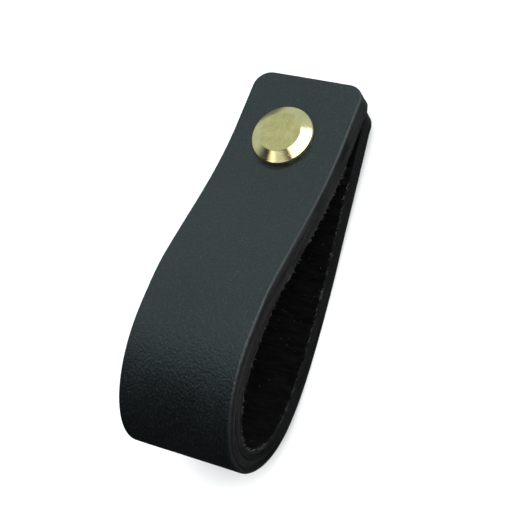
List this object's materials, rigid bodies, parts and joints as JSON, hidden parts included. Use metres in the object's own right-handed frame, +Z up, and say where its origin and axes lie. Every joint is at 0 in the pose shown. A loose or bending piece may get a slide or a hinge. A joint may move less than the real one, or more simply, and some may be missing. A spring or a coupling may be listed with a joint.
{
  "type": "leather strap loop",
  "caption": "Leather strap folded into a teardrop loop, its rounded ends clamped one on the other by a brass cap post and a slotted rear screw.",
  "frame": {"origin": "middle of the footprint, on the plane that the loop lies on: the rear screw's head and the swell of the rear leg touch it", "axes": "+X across the strap's width, +Y along the loop from the closed bend towards the clamped ends, +Z up, on the side where the brass cap shows"},
  "size_m": [0.025, 0.081, 0.0322],
  "materials": {
    "leather": "smooth dyed grain outside, napped flesh side inside, satin",
    "cap_brass": "polished bevel, faintly pitted flat face",
    "screw_brass": "turned"
  },
  "bodies": {
    "clamped_ends": {"strap_front_end": "leather", "strap_rear_end": "leather"},
    "loop": {"strap_loop": "leather"},
    "post": {"cap_post": "cap_brass"},
    "screw": {"rear_screw": "screw_brass"}
  },
  "joints": [
    {"name": "loop_sway", "type": "hinge", "parent": "clamped_ends", "child": "loop", "pos_m": [0, 0.01623, 0.00927], "axis": [-1, 0, 0], "range_deg": [0, 25], "stiffness_Nm_per_rad": 0.4},
    {"name": "post_travel", "type": "slide", "parent": "clamped_ends", "child": "post", "axis": [0, 0.2271, 0.9739], "range_m": [0, 0.0063]},
    {"name": "screw_turn", "type": "hinge", "parent": "clamped_ends", "child": "screw", "pos_m": [-0.001, 0.02454, 0.00528], "axis": [0, -0.2271, -0.9739], "range_deg": [0, 3240]}
  ],
  "couplings": [
    {"joint": "screw_turn", "follows": "post_travel", "rad_per_m": 8975.9}
  ]
}
